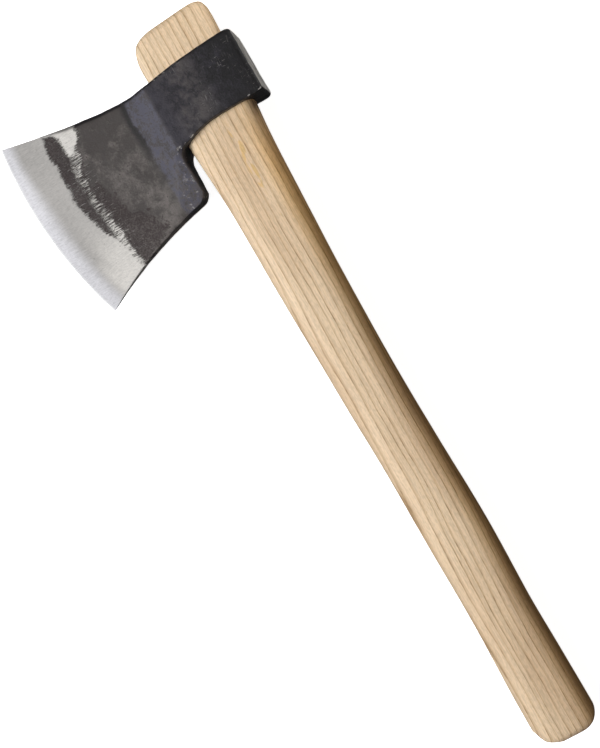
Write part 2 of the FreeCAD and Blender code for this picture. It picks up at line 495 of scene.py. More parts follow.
    def bump(self, height: Value, depth: float) -> Socket:
        """Turn a height into a bump; depth is the height's full rise in millimetres."""
        inputs = {"Height": height, "Strength": 1.0, "Distance": depth * MM}
        return self.add("Bump", inputs).outputs[0]

    def finish(self, inputs: dict[str, object]) -> bpy.types.Material:
        """End with one principled shader.

        Args:
            inputs: What goes into the shader's sockets.

        Returns:
            The material.
        """
        shader = self.add("BsdfPrincipled", inputs)
        self.add("OutputMaterial", {"Surface": shader.outputs[0]})
        return self.material


@dataclass(frozen=True)
class AshWood:
    """Pale ash, planed and lightly oiled, with its growth rings in brown pored lines.

    Lengths are millimetres. The heart of the tree lies beside the handle, towards the poll.
    """

    ring_width: float = 3.2
    heart: Point = (58.0, -2.0)
    taper: float = -0.016
    sway: float = 6.5
    quiver: float = 0.4
    crowding: Point = (0.55, 1.3)
    pore_depth: float = 0.08
    lens_strength: float = 1.45
    drift: Marks = Marks((6.0, 22.0, 22.0), 3.0, 0.45)
    jitter: Marks = Marks((75.0, 260.0, 260.0))
    fibre: Marks = Marks((40.0, 1700.0, 1700.0), 3.0, 0.65)
    grit: Marks = Marks((420.0, 1500.0, 1500.0), 1.0)
    dashes: Marks = Marks((150.0, 1500.0, 1500.0))
    clumps: Marks = Marks((22.0, 160.0, 160.0))
    blotch: Marks = Marks((11.0, 45.0, 45.0), 3.0)
    fleck: Marks = Marks((130.0, 520.0, 520.0), 1.0)
    pale: Colour = (0.665, 0.515, 0.352)
    warm: Colour = (0.57, 0.42, 0.275)
    ring_brown: Colour = (0.39, 0.245, 0.12)
    pore_brown: Colour = (0.235, 0.135, 0.055)
    honey: Colour = (0.60, 0.39, 0.14)
    # Tint of the painted shade on the grip's poll side.
    painted_shade_tone: Colour = (1.0, 0.84, 0.56)

    def rings(self, g: Graph, whole: Socket, place: Sequence[Socket]) -> Socket:
        """Grow the rings.

        Args:
            g: The material's node tree.
            whole: The piece's coordinates.
            place: The same, as three numbers.

        Returns:
            How far each place is through its own ring, from 0 to 1.
        """
        x, y, z = place
        sway = g.scaled(g.marks(whole, self.drift), 2 * self.sway * MM, -self.sway * MM)
        quiver = g.scaled(g.marks(whole, self.jitter), 2 * self.quiver * MM, -self.quiver * MM)
        out_y = g.plus(g.minus(y, self.heart[0] * MM), g.plus(sway, quiver))
        out_z = g.minus(z, self.heart[1] * MM)
        reach = g.work("SQRT", g.plus(g.times(out_y, out_y), g.times(out_z, out_z)))
        ring = g.times(g.scaled(x, self.taper, reach), 1.0 / (self.ring_width * MM))
        seasons = g.add("CombineXYZ", {0: g.times(ring, self.crowding[0])}).outputs[0]
        uneven = g.marks(seasons, Marks(1.0, 1.0))
        return g.work("FRACT", g.scaled(uneven, self.crowding[1], ring))

    def ground(self, g: Graph, whole: Socket, place: Sequence[Socket]) -> Socket:
        """Colour the wood between the rings' lines.

        Args:
            g: The material's node tree.
            whole: The piece's coordinates.
            place: The same, as three numbers.

        Returns:
            The colour.
        """
        x, y, _ = place
        blotch = g.ease(g.marks(whole, self.blotch), 0.36, 0.66)
        warmth = g.work("ADD", blotch, g.over(x, 120.0, 370.0, -0.06, 0.20), clamp=True)
        ground = g.blend(warmth, self.pale, self.warm)
        middle = g.over(g.work("ABSOLUTE", g.minus(y, 3.0 * MM)), 0.8, 3.0, 1.0, 0.0)
        shown = g.scaled(g.times(g.hill(x, (20.0, 30.0), (66.0, 80.0), MM), middle), 0.62, 0.05)
        fleck = g.ease(g.marks(whole, self.fleck), 0.52, 0.62)
        return g.blend(g.times(fleck, shown), ground, self.honey)

    def build(self) -> bpy.types.Material:
        """Mix the finish.

        Returns:
            The material.
        """
        g = Graph("ash_wood")
        whole = g.add("TexCoord").outputs["Object"]
        x, y, _ = place = g.parts(whole)
        phase = self.rings(g, whole, place)
        late = g.hill(phase, (0.54, 0.86), (0.90, 1.0))
        line = g.hill(phase, (0.80, 0.86), (0.90, 0.96))

        fibre, grit = g.marks(whole, self.fibre), g.marks(whole, self.grit)
        clumps = g.marks(whole, self.clumps)
        band = g.times(late, g.ease(clumps, 0.30, 0.66, 0.26, 0.50))
        dashes = g.ease(g.marks(whole, self.dashes), 0.46, 0.60)
        strength = g.times(
            g.ease(clumps, 0.30, 0.60, 0.42, 1.0), g.over(x, 20.0, 110.0, 0.8, 1.0)
        )
        pores = g.times(g.times(line, g.ease(dashes, 0.0, 1.0, 0.35, 1.0)), strength)
        loose = g.times(g.ease(grit, 0.58, 0.70), g.ease(late, 0.0, 1.0, 0.14, 0.42))

        colour = g.blend(band, self.ground(g, whole, place), self.ring_brown)
        colour = g.blend(g.times(g.most(pores, loose), 0.85), colour, self.pore_brown)
        shade = g.ease(g.scaled(grit, 0.8, fibre), 0.72, 1.08, 0.87, 1.12)
        colour = g.blend(1.0, colour, g.grey(shade), "MULTIPLY")
        # Painted shade: the grip's side towards the poll, turned away from the key light, is
        # darkened and warmed.
        painted_side_shade = g.times(g.over(y, 4.0, 15.0), g.over(x, 0.0, 60.0))
        colour = g.blend(painted_side_shade, colour, g.blend(1.0, colour, self.painted_shade_tone, "MULTIPLY"))

        rough = g.scaled(band, 0.12, g.ease(fibre, 0.3, 0.7, 0.44, 0.54))
        relief = g.minus(g.minus(g.times(fibre, 0.5), g.times(pores, 0.8)), g.times(late, 0.3))
        return g.finish({
            "Base Color": colour, "Roughness": rough, "Normal": g.bump(relief, self.pore_depth),
            "IOR": self.lens_strength,
        })


@dataclass
class SteelMap:
    """Where a place on the head lies, and the marks on it, as numbers in the finish's nodes."""

    x: Socket
    y: Socket
    skew: Socket
    depth: Socket
    wander: Socket
    facing: tuple[Socket, Socket, Socket]
    # side: painted shade, on faces turned towards the head's top edge and on faces turned to the
    # butt beside the handle.
    side: Socket
    stroke: Socket
    brush: Socket
    fleck: Socket
    mottle: Socket
    blotch: Socket
    cloud: Socket
    grain: Socket


@dataclass(frozen=True)
class ForgedSteel:
    """Fire-scaled steel with a bit ground bright back from the cutting edge.

    Depths are measured back from the cutting edge, and each line says how deep something
    reaches at places along the edge. All lengths are millimetres.
    """

    edge_centre: Point = (3.48, 114.25)
    edge_radius: float = 218.0
    edge_ends: Point = (-26.0, 68.0)
    line_top: float = 50.0
    rust_top: float = 60.0
    cover_top: float = 1.25
    line_blur: float = 0.8
    relief_height: float = 1.0
    stroke_turn: float = 1.5
    bit_line: tuple[Point, ...] = (
        (-26.0, 22.6), (-17.5, 22.6), (-8.6, 21.6), (-2.7, 23.2), (3.0, 22.3), (9.0, 22.7),
        (16.0, 21.3), (23.0, 22.4), (30.0, 23.6), (37.0, 24.8), (46.0, 28.4), (54.0, 28.0),
        (59.0, 27.2), (68.0, 26.5),
    )
    patch_near: tuple[Point, ...] = (
        (-26.0, 20.0), (-19.5, 22.0), (-16.5, 27.6), (-9.0, 29.9), (2.7, 29.3), (9.0, 27.4),
        (20.0, 27.4), (35.0, 27.4), (45.0, 26.0), (68.0, 25.0),
    )
    patch_far: tuple[Point, ...] = (
        (-26.0, 39.8), (-14.0, 39.6), (-9.5, 38.8), (-6.0, 35.4), (0.0, 35.0), (4.5, 32.8),
        (10.0, 32.0), (20.0, 31.0), (27.0, 32.2), (36.0, 32.0), (45.0, 30.5), (68.0, 27.0),
    )
    patch_cover: tuple[Point, ...] = (
        (-26.0, 1.0), (-7.0, 1.0), (-3.0, 0.62), (4.0, 0.56), (10.0, 0.47), (18.0, 0.38),
        (26.0, 0.44), (34.0, 0.52), (42.0, 0.66), (68.0, 0.8),
    )
    rust_line: tuple[Point, ...] = (
        (-26.0, 27.0), (-10.0, 31.0), (2.0, 33.0), (12.0, 34.0), (18.0, 38.0), (27.0, 40.5),
        (33.0, 41.5), (38.0, 49.0), (46.0, 50.5), (52.0, 47.0), (55.0, 41.0), (59.0, 34.0),
        (68.0, 31.0),
    )
    stroke: Marks = Marks((2300.0, 250.0, 300.0), 3.0, 0.75)
    brush: Marks = Marks((2400.0, 330.0, 400.0), 2.0, 0.6)
    scores: Marks = Marks((160.0, 2600.0, 400.0), 2.0, 0.6)
    cross_scores: Marks = Marks((2800.0, 260.0, 400.0), 1.0, 0.6)
    fleck: Marks = Marks(620.0, 3.0, 0.6)
    mottle: Marks = Marks(230.0, 5.0, 0.62, 0.4)
    blotch: Marks = Marks(95.0, 4.0, 0.6, 0.5)
    cloud: Marks = Marks(34.0, 3.0, 0.55)
    grain: Marks = Marks(1100.0, 3.0, 0.7)
    bright: Colour = (0.46, 0.445, 0.43)
    warm: Colour = (0.75, 0.725, 0.69)
    cold: Colour = (0.76, 0.755, 0.79)
    # Painted highlight along the honed edge.
    painted_edge_highlight: Colour = (0.95, 0.95, 0.97)
    scale: Colour = (0.044, 0.0385, 0.037)
    pale_scale: Colour = (0.122, 0.110, 0.104)
    brown_scale: Colour = (0.027, 0.0195, 0.0195)
    # Bluer scale of the step's slope, lightened as a painted highlight.
    blue_scale_and_painted_highlight: Colour = (0.071, 0.070, 0.092)
    eye_scale: Colour = (0.0375, 0.035, 0.0445)
    brown_stain: Colour = (0.088, 0.078, 0.074)
    # Black scale and pits, also used as painted shade: at the step's foot, on faces marked as side,
    # and at the eye's poll end.
    black_scale_and_painted_shade: Colour = (0.0085, 0.008, 0.0092)

    def along(self, g: Graph, x: Socket, line: Sequence[Point], top: float) -> Socket:
        """Read a line of heights at a place along the edge.

        Args:
            g: The material's node tree.
            x: Place along the handle, in metres.
            line: Pairs of place and height.
            top: The greatest height that the line may have.

        Returns:
            The height there, as a share of the greatest.
        """
        start, end = self.edge_ends
        length = end - start
        share = g.scaled(x, 1.0 / MM / length, -start / length)
        return g.curve(share, [((at - start) / length, height / top) for at, height in line])

    def depth_along(self, g: Graph, x: Socket, line: Sequence[Point], top: float) -> Socket:
        """Read a line of depths at a place along the edge, in metres."""
        return g.times(self.along(g, x, line, top), top * MM)

    def lay_out(self, g: Graph) -> SteelMap:
        """Find each place's depth from the edge and lay the marks over the head.

        Args:
            g: The material's node tree.

        Returns:
            The places and marks.
        """
        whole = g.add("TexCoord").outputs["Object"]
        x, y, _ = g.parts(whole)
        from_x = g.minus(x, self.edge_centre[0] * MM)
        from_y = g.minus(y, self.edge_centre[1] * MM)
        far = g.work("SQRT", g.plus(g.times(from_x, from_x), g.times(from_y, from_y)))
        turn = (0.0, 0.0, math.radians(self.stroke_turn))
        skew = g.add("Mapping", {"Vector": whole, "Rotation": turn}).outputs[0]
        blotch = g.marks(whole, self.blotch)
        facing = g.parts(g.add("NewGeometry").outputs["Normal"])
        # Painted shade on faces turned towards the butt: full from the throat to the poll, where
        # the handle leaves the head, weak lower down.
        under = g.times(g.ease(facing[0], 0.55, 0.85), g.over(y, -42.0, -34.0, 0.2, 1.0))
        return SteelMap(
            x=x, y=y, skew=skew, facing=facing, blotch=blotch,
            depth=g.minus(self.edge_radius * MM, far),
            wander=g.scaled(blotch, 5.0 * MM, g.minus(y, 2.5 * MM)),
            # Painted shade on faces turned away from the butt, towards the head's top edge.
            side=g.most(g.ease(facing[0], -0.50, -0.16, 1.0, 0.0), under),
            stroke=g.marks(skew, self.stroke), brush=g.marks(skew, self.brush),
            fleck=g.marks(whole, self.fleck), mottle=g.marks(whole, self.mottle),
            cloud=g.marks(whole, self.cloud), grain=g.marks(whole, self.grain),
        )

    def ground(self, g: Graph, at: SteelMap) -> Socket:
        """Grind the bit, the patch above it and the threads that the wheel left between them.

        Args:
            g: The material's node tree.
            at: The places and marks.

        Returns:
            How far each place is ground bright.
        """
        blur = self.line_blur
        ragged = g.scaled(at.stroke, 7.0 * MM, g.times(at.fleck, 3.0 * MM))
        ragged = g.minus(g.scaled(at.blotch, 5.0 * MM, ragged), 7.5 * MM)
        depth = g.minus(at.depth, ragged)
        limit = self.depth_along(g, at.x, self.bit_line, self.line_top)
        bit = g.over(g.minus(limit, depth), -blur, blur)
        near = self.depth_along(g, at.x, self.patch_near, self.line_top)
        past = self.depth_along(g, at.x, self.patch_far, self.line_top)
        cover = self.along(g, at.x, self.patch_cover, self.cover_top)
        thread = g.scaled(cover, 0.42, g.times(at.stroke, 0.8))
        patch = g.times(
            g.over(g.minus(depth, near), -blur, blur), g.over(g.minus(past, depth), -blur, blur)
        )
        patch = g.times(patch, g.ease(thread, 0.50, 0.62))
        stray = g.hill(at.depth, (17.0, 21.0), (31.0, 40.0), MM)
        stray = g.times(stray, g.ease(at.stroke, 0.55, 0.70, 0.0, 0.70))
        return g.most(bit, patch, stray)

    def cheek(self, g: Graph, at: SteelMap) -> Socket:
        """Colour the cheek: mottled scale, a browner band above the bit, and black pits.

        Args:
            g: The material's node tree.
            at: The places and marks.

        Returns:
            The colour.
        """
        lift = g.scaled(at.mottle, 0.9, g.scaled(at.blotch, 0.9, g.times(at.cloud, 0.5)))
        lift = g.plus(lift, g.scaled(at.grain, 0.5, -0.80))
        lift = g.scaled(g.over(at.x, 20.0, 50.0), 0.21, lift)
        lift = g.scaled(g.over(at.depth, 34.0, 46.0), g.over(at.x, -20.0, 25.0, -0.03, 0.0), lift)
        dark = g.blend(g.ease(lift, 0.50, 1.02), self.scale, self.pale_scale)
        rust = self.depth_along(g, at.x, self.rust_line, self.rust_top)
        rust_edge = g.scaled(at.mottle, 22.0 * MM, g.scaled(at.blotch, 12.0 * MM, -17.0 * MM))
        rusty = g.over(g.minus(g.plus(rust, rust_edge), at.depth), -0.6, 0.8)
        rusty = g.times(rusty, g.ease(at.grain, 0.40, 0.62, 0.95, 0.5))
        dark = g.blend(rusty, dark, self.brown_scale)
        pits = g.times(g.ease(at.fleck, 0.62, 0.70), g.ease(at.blotch, 0.46, 0.60))
        return g.blend(g.times(pits, 0.6), dark, self.black_scale_and_painted_shade)

    def step(self, g: Graph, at: SteelMap, under: Socket) -> Socket:
        """Colour the step up to the eye: black at its foot in painted crease shadow, and bluer
        scale on its slope, painted lighter as a highlight where it faces the light.

        Args:
            g: The material's node tree.
            at: The places and marks.
            under: The cheek's colour.

        Returns:
            The colour.
        """
        # Painted shadow in the crease at the step's foot.
        foot = g.hill(at.wander, (-41.0, -37.8), (-36.6, -34.6), MM)
        foot = g.times(foot, g.over(at.x, 0.0, 30.0, 0.85, 0.25))
        under = g.blend(foot, under, self.black_scale_and_painted_shade)
        # The slope's bluer scale is painted lighter than the cheek: a painted highlight where the
        # slope faces the light.
        slope = g.hill(at.wander, (-37.0, -35.0), (-24.0, -21.5), MM)
        patchy = g.scaled(at.grain, 0.5, g.times(at.mottle, 0.6))
        slope = g.times(slope, g.ease(patchy, 0.45, 0.62, 0.15, 1.0))
        return g.blend(slope, under, self.blue_scale_and_painted_highlight)

    def eye(self, g: Graph, at: SteelMap) -> Socket:
        """Colour the eye's cheeks: darker towards the poll in painted shade, with a brown stain in
        the middle.

        Args:
            g: The material's node tree.
            at: The places and marks.

        Returns:
            The colour.
        """
        # Painted shade: the scale darkens towards the poll, where its glossy reflection falls off;
        # mottle and grain vary it.
        tone = g.scaled(at.y, -9.0, g.scaled(at.mottle, 0.8, g.times(at.cloud, 0.6)))
        tone = g.plus(tone, g.scaled(at.grain, 0.7, -0.35))
        colour = g.blend(g.ease(tone, 0.46, 1.0), self.black_scale_and_painted_shade, self.eye_scale)
        stain = g.scaled(at.mottle, 0.5, g.times(at.cloud, 0.5))
        stain = g.times(g.hill(at.y, (-20.0, -10.0), (-3.0, 9.0), MM), g.ease(stain, 0.42, 0.60))
        return g.blend(g.times(stain, 0.6), colour, self.brown_stain)

    def steel(self, g: Graph, at: SteelMap) -> Socket:
        """Colour the bare steel: cold along the edge, with a painted highlight on its last
        millimetre, warmer behind, brushed all over.

        Args:
            g: The material's node tree.
            at: The places and marks.

        Returns:
            The colour.
        """
        reach = g.over(at.x, -20.0, 15.0, 9.0 * MM, 12.0 * MM)
        cold = g.ease(g.work("DIVIDE", at.depth, reach), 0.25, 1.0)
        colour = g.blend(cold, self.cold, self.bright)
        back = g.most(
            g.times(g.over(at.depth, 10.0, 18.0), g.over(at.x, 24.0, 56.0, 0.05, 1.0)),
            g.over(at.depth, 26.0, 29.0),
            g.times(g.over(at.depth, 7.0, 13.0), g.over(at.x, 40.0, 58.0)),
        )
        colour = g.blend(back, colour, self.warm)
        # Painted highlight: a near-white band on the last millimetre of the honed edge.
        colour = g.blend(g.over(at.depth, 0.5, 1.1, 1.0, 0.0), colour, self.painted_edge_highlight)
        sheen = g.scaled(at.brush, 0.6, g.scaled(at.cloud, 0.4, g.times(at.grain, 0.35)))
        sheen = g.grey(g.ease(sheen, 0.45, 0.90, 0.80, 1.16))
        colour = g.blend(1.0, colour, sheen, "MULTIPLY")
        specks = g.times(g.ease(at.fleck, 0.66, 0.74), 0.35)
        return g.blend(specks, colour, self.pale_scale)

    def scored(self, g: Graph, at: SteelMap) -> Socket:
        """Scratch the eye's cheeks, along and across.

        Args:
            g: The material's node tree.
            at: The places and marks.

        Returns:
            How far each place is scratched.
        """
        scores = g.ease(g.marks(at.skew, self.scores), 0.62, 0.70)
        crossed = g.ease(g.marks(at.skew, self.cross_scores), 0.66, 0.73)
        area = g.times(g.over(at.y, -22.0, -8.0), g.ease(at.blotch, 0.48, 0.62))
        return g.times(g.most(scores, crossed), area)

    def worn(self, g: Graph, at: SteelMap) -> Socket:
        """Wear the eye's rounded edges in short dashes.

        Args:
            g: The material's node tree.
            at: The places and marks.

        Returns:
            How far each place is worn bare.
        """
        crest = g.hill(g.work("ABSOLUTE", at.facing[0]), (0.18, 0.42), (0.62, 0.85))
        dashes = g.scaled(at.fleck, 0.6, g.times(at.mottle, 0.6))
        worn = g.times(crest, g.ease(dashes, 0.66, 0.74))
        return g.times(worn, g.over(at.y, -40.0, -30.0))

    def poll(self, g: Graph, at: SteelMap) -> Socket:
        """Hammer the poll's face bare, in blotches.

        Args:
            g: The material's node tree.
            at: The places and marks.

        Returns:
            How far each place is bare.
        """
        poll = g.times(g.over(at.y, 25.6, 26.6), g.ease(at.facing[1], 0.80, 0.95))
        return g.times(poll, g.ease(at.blotch, 0.36, 0.62, 0.45, 0.95))

    def build(self) -> bpy.types.Material:
        """Mix the finish.

        Returns:
            The material.
        """
        g = Graph("forged_steel")
        at = self.lay_out(g)
        ground = self.ground(g, at)
        dark = self.step(g, at, self.cheek(g, at))
        dark = g.blend(g.over(at.wander, -24.0, -21.5), dark, self.eye(g, at))
        # Painted shade: black over the faces that side marks.
        dark = g.blend(g.times(at.side, 0.8), dark, self.black_scale_and_painted_shade)
        steel, poll = self.steel(g, at), self.poll(g, at)
        worn, scored = g.times(self.worn(g, at), 0.7), g.times(self.scored(g, at), 0.22)
        bare = g.most(ground, poll, worn, scored)
        # The painted shade also dims the bare steel on those faces.
        bare = g.times(bare, g.ease(at.side, 0.0, 1.0, 1.0, 0.45))

        dull = g.ease(at.mottle, 0.3, 0.7, 0.42, 0.60)
        keen = g.ease(at.brush, 0.3, 0.7, 0.30, 0.40)
        rough = g.plus(g.times(dull, g.minus(1.0, bare)), g.times(keen, bare))
        metal = g.scaled(poll, -0.55, g.ease(bare, 0.0, 1.0, 0.35, 1.0))
        relief = g.scaled(at.mottle, 0.38, g.scaled(at.grain, 0.10, g.times(at.fleck, 0.20)))
        rest = g.minus(1.0, g.times(bare, 0.9))
        relief = g.scaled(relief, rest, g.times(at.brush, 0.02))
        return g.finish({
            "Base Color": g.blend(bare, dark, steel), "Metallic": metal, "Roughness": rough,
            "Normal": g.bump(relief, self.relief_height),
        })


# --------------------------------------------------------------------------- pieces


@dataclass
class Handle:
    """Straight ash handle: squarer above the eye, jammed in it, rounder down the grip.

    Each table gives a size at places along the handle. Lengths are millimetres.
    """

    top: float = -34.4
    butt: float = 360.3
    middle_height: float = 15.0
    width: tuple[Point, ...] = (
        (-36.7, 43.2), (-27.0, 44.3), (-15.0, 43.2), (34.0, 36.9), (58.0, 34.6), (110.0, 32.7),
        (170.0, 31.1), (205.0, 30.8), (250.0, 31.7), (295.0, 30.7), (335.0, 32.4), (360.3, 32.5),
    )
    thickness: tuple[Point, ...] = (
        (-36.7, 23.8), (-26.0, 23.8), (-15.0, 23.2), (34.0, 21.2), (58.0, 21.0), (110.0, 20.8),
        (170.0, 20.8), (205.0, 21.0), (250.0, 21.2), (295.0, 21.0), (335.0, 21.3), (360.3, 21.4),
    )
    middle: tuple[Point, ...] = (
        (-36.7, 2.2), (-27.0, 2.05), (-15.0, 1.0), (34.0, -0.52), (58.0, -0.62), (110.0, -1.65),
        (170.0, -1.85), (205.0, -1.3), (250.0, -0.9), (295.0, -1.45), (335.0, -1.88), (360.3, -1.9),
    )
    corner: tuple[Point, ...] = (
        (-36.7, 1.6), (-15.0, 2.4), (0.0, 4.2), (45.0, 7.4), (90.0, 9.0), (140.0, 9.6),
        (360.3, 9.6),
    )
    flat_share: float = 0.3
    crown: float = 0.45
    usual_half: float = 10.5
    end_round: float = 4.5
    near_corner: float = 12.0
    far_corner: float = 8.0
    top_slant: float = -1.8
    slant_stations: int = 3
    far_lean: tuple[Point, ...] = ((-36.7, 4.0), (-20.0, 4.0), (-8.0, 0.0))
    lean_shares: tuple[Point, ...] = ((0.0, 0.5), (-1.0, 1.0))
    lean_from: float = 0.8
    point_reach: float = 3.5
    face_reach: float = 3.0
    first_gap: float = 15.0
    stations: int = 44
    long_edge: float = 3.0
    corner_share: float = 0.85
    rim_share: float = 0.9
    end_reach: float = 2.5
    bevel_segments: int = 5
    ripples: tuple[Point, ...] = ((70.0, 0.5), (16.0, 0.10))
    finish: AshWood = field(default_factory=AshWood)

    def section(self, at: float) -> tuple[float, float, float]:
        """Read the handle's section.

        Args:
            at: Place along the handle.

        Returns:
            The section's middle, half width and half thickness there.
        """
        return (
            smooth_between(self.middle, at),
            smooth_between(self.width, at) / 2,
            smooth_between(self.thickness, at) / 2,
        )

    def shape_section(self, work: Workpiece, at: float, leant: float) -> None:
        """Fit the selected section to the handle's size at a place along it.

        Args:
            work: The mesh being shaped.
            at: Place along the handle.
            leant: How far the section's poll side leans out already.
        """
        middle, half_width, half_thick = self.section(at)
        work.fit(Axis.ACROSS, middle - half_width, middle + half_width)
        work.fit(Axis.UP, self.middle_height - half_thick, self.middle_height + half_thick)
        lean = smooth_between(self.far_lean, at) - leant
        if lean != 0.0:
            outer = middle + self.lean_from * half_width
            for step, share in self.lean_shares:
                height = self.middle_height + step * half_thick
                work.pick(lambda place: place.x > at - self.point_reach and place.y > outer
                          and abs(place.z - height) < 1.0)
                work.move(y=-lean * share)
            work.pick(lambda place: place.x > at - self.face_reach, faces=True)

    def rounding(self, start: Vector, end: Vector) -> float:
        """Say how far an edge of the squared blank is rounded.

        Args:
            start: One end of the edge, in millimetres.
            end: Its other end.

        Returns:
            The rounding's radius, or nothing for an edge inside a face.
        """
        place = (start + end) / 2
        middle, half_width, half_thick = self.section(place.x)
        off_side = (abs(place.y - middle) + smooth_between(self.far_lean, place.x)) / half_width
        off_face = abs(place.z - self.middle_height) / half_thick
        if abs(end.x - start.x) > self.long_edge:
            at_corner = min(off_side, off_face) > self.corner_share
            return smooth_between(self.corner, place.x) if at_corner else 0.0
        if min(abs(place.x - self.top), abs(place.x - self.butt)) > self.end_reach:
            return 0.0
        if off_side > self.rim_share:
            return self.near_corner if place.y < middle else self.far_corner
        return self.end_round if off_face > self.rim_share else 0.0

    def square_up(self) -> bpy.types.Object:
        """Draw the squared blank out of one sheet, from the top end to the butt.

        Returns:
            The blank.
        """
        work = Workpiece("ash_handle", 4, 2, (math.pi / 2, 0.0, math.pi / 2))
        # The inner lines of the sheet bound the flats; the middle of each face is crowned.
        work.pick(lambda place: 0.4 < abs(place.y) < 0.6)
        work.scale(Vector((0.0, 0.0, 0.0)), y=2 * self.flat_share)
        work.pick(lambda place: abs(place.y) < 0.9 and abs(place.z) > 0.9)
        work.scale(Vector((0.0, 0.0, 0.0)), z=1.0 + self.crown / self.usual_half)
        work.pick(lambda place: True, faces=True)
        work.move(x=self.top)
        self.shape_section(work, self.top, 0.0)
        lean = math.radians(self.top_slant)
        about = Vector((self.top, 0.0, self.middle_height)) * MM
        bpy.ops.transform.rotate(value=lean, orient_axis="Z", center_override=tuple(about))
        pitch = (self.butt - self.top - self.first_gap) / self.stations
        before = self.top
        for number in range(self.stations + 1):
            at = self.top + self.first_gap + pitch * number
            work.extrude(x=at - before)
            if number < self.slant_stations:
                about = Vector((at, 0.0, self.middle_height)) * MM
                bpy.ops.transform.rotate(
                    value=-lean / self.slant_stations, orient_axis="Z",
                    center_override=tuple(about),
                )
            self.shape_section(work, at, smooth_between(self.far_lean, before))
            before = at
        return work.close()

    def build(self) -> bpy.types.Object:
        """Shape the handle.

        Returns:
            The finished mesh object.
        """
        body = self.square_up()
        weights = body.data.attributes.new("bevel_weight_edge", "FLOAT", "EDGE")
        widest = max(self.near_corner, *(radius for _, radius in self.corner))
        for edge in body.data.edges:
            start, end = (body.data.vertices[number].co / MM for number in edge.vertices)
            weights.data[edge.index].value = self.rounding(start, end) / widest
        apply_modifier(
            body, "BEVEL", width=widest * MM, segments=self.bevel_segments,
            limit_method="WEIGHT", use_clamp_overlap=False,
        )
        subdivide(body, 1)
        for size, height in self.ripples:
            ripple(body, size, height)
        body.data.shade_smooth()
        return body

    def dress(self, body: bpy.types.Object) -> None:
        """Give the handle its finish and its place in the frame.

        Args:
            body: The shaped handle.
        """
        body.data.materials.clear()
        body.data.materials.append(self.finish.build())
        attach(body, "root")
        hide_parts("handle")


